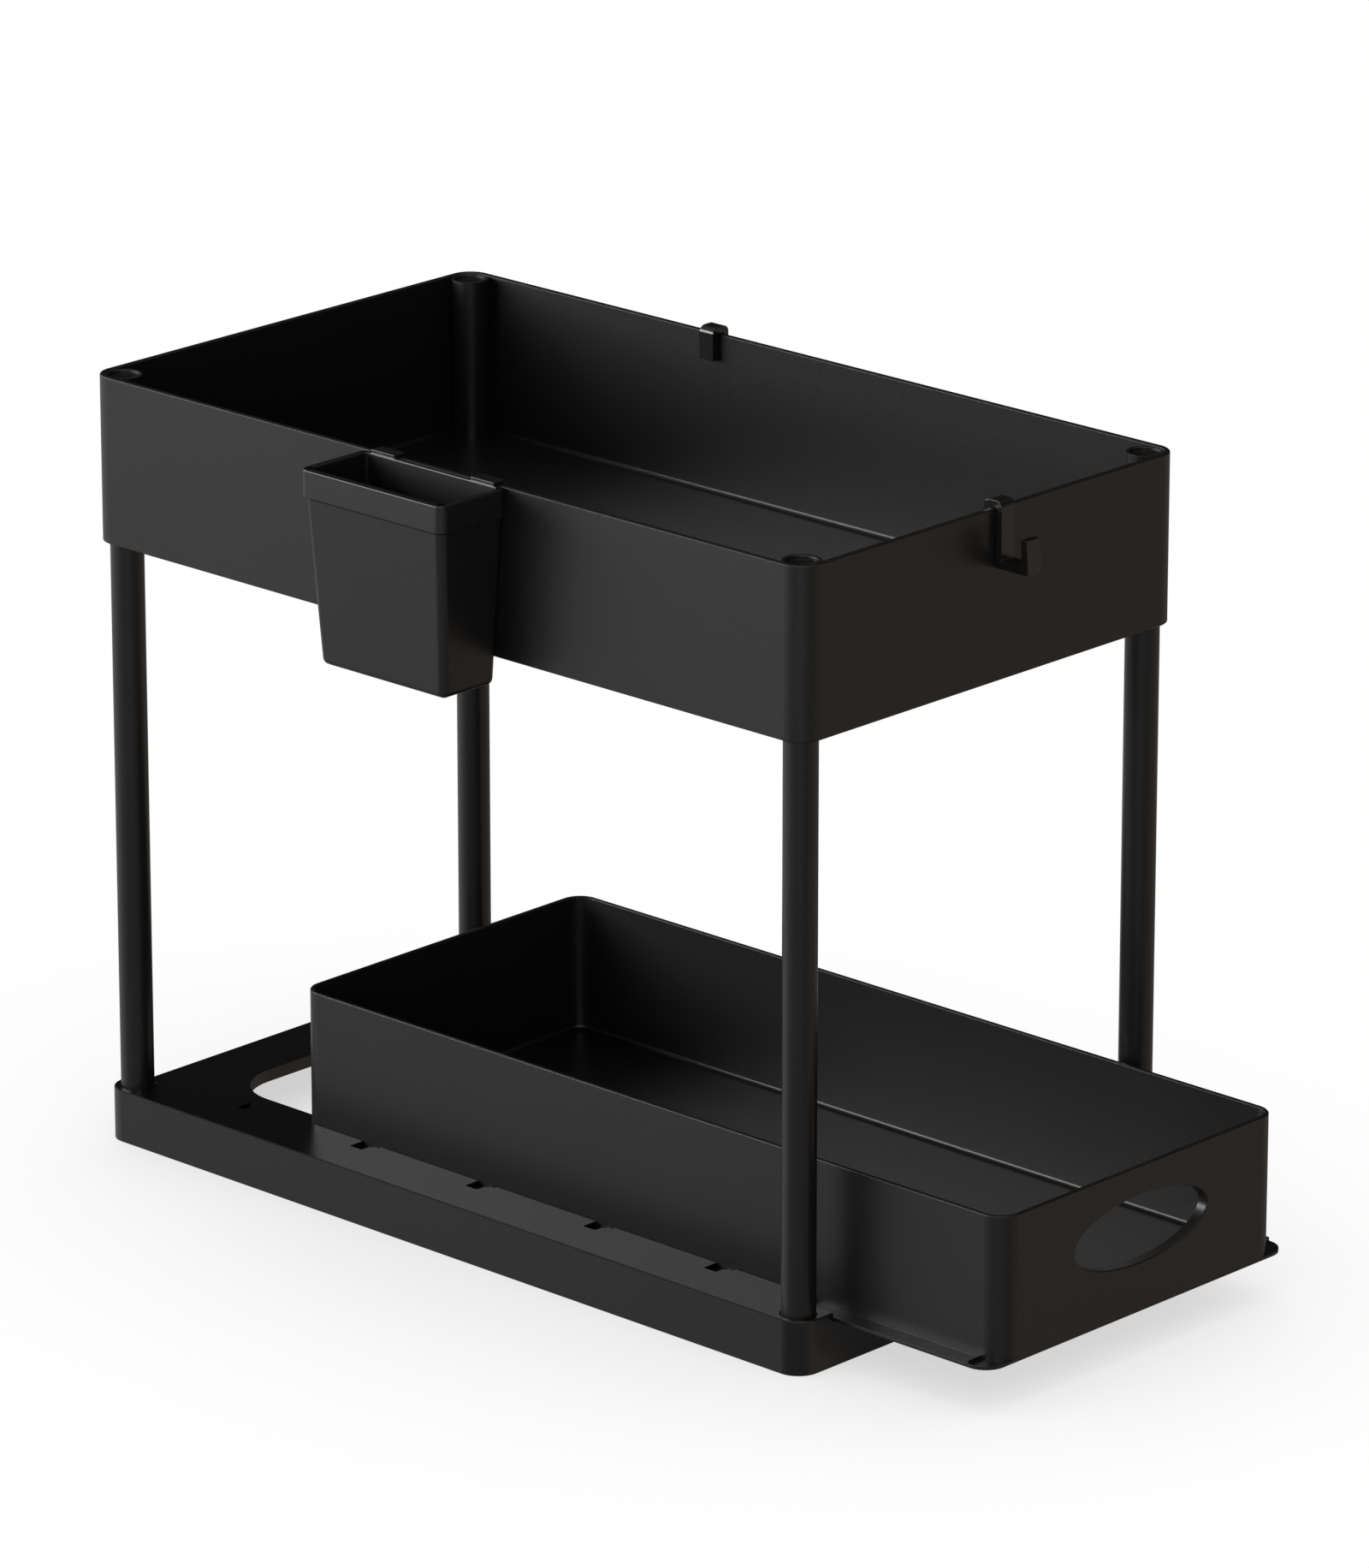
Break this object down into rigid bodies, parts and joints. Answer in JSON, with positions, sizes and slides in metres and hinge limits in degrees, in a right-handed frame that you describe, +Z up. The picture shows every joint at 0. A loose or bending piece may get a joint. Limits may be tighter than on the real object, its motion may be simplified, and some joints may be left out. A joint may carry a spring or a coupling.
{
  "type": "under sink organizer",
  "caption": "Free-standing tiered under sink organizer: base with slide rails and a pull-out drawer, corner posts, open upper tray, hanging cup and rim hooks.",
  "frame": {"origin": "centre of the base's footprint, on the floor that it stands on", "axes": "+Z up, +Y along the length towards the rear, -Y is the way the drawer pulls out, +X to the right seen from the front"},
  "size_m": [0.2781, 0.4812, 0.339],
  "materials": {
    "frame_plastic": "black satin moulded plastic",
    "post_plastic": "black satin moulded plastic tube",
    "cap_plastic": "black satin moulded plastic",
    "drawer_plastic": "black satin moulded plastic",
    "cup_plastic": "black satin moulded plastic",
    "hook_plastic": "black semi-gloss moulded plastic"
  },
  "bodies": {
    "frame": {"base_frame": "frame_plastic", "post_front_left": "post_plastic", "post_front_right": "post_plastic", "post_rear_left": "post_plastic", "post_rear_right": "post_plastic", "upper_tray": "frame_plastic", "cap_front_left": "cap_plastic", "cap_front_right": "cap_plastic", "cap_rear_left": "cap_plastic", "cap_rear_right": "cap_plastic"},
    "drawer": {"drawer": "drawer_plastic"},
    "cup": {"hanging_cup": "cup_plastic"},
    "front_hook": {"front_hook": "hook_plastic"},
    "side_hook": {"side_hook": "hook_plastic"}
  },
  "joints": [
    {"name": "drawer_slide", "type": "slide", "parent": "frame", "child": "drawer", "axis": [0, -1, 0], "range_m": [-0.0883, 0.15]},
    {"name": "cup_lift", "type": "slide", "parent": "frame", "child": "cup", "axis": [0, 0, 1], "range_m": [0, 0.04]},
    {"name": "front_hook_lift", "type": "slide", "parent": "frame", "child": "front_hook", "axis": [0, 0, 1], "range_m": [0, 0.03]},
    {"name": "side_hook_lift", "type": "slide", "parent": "frame", "child": "side_hook", "axis": [0, 0, 1], "range_m": [0, 0.03]}
  ]
}
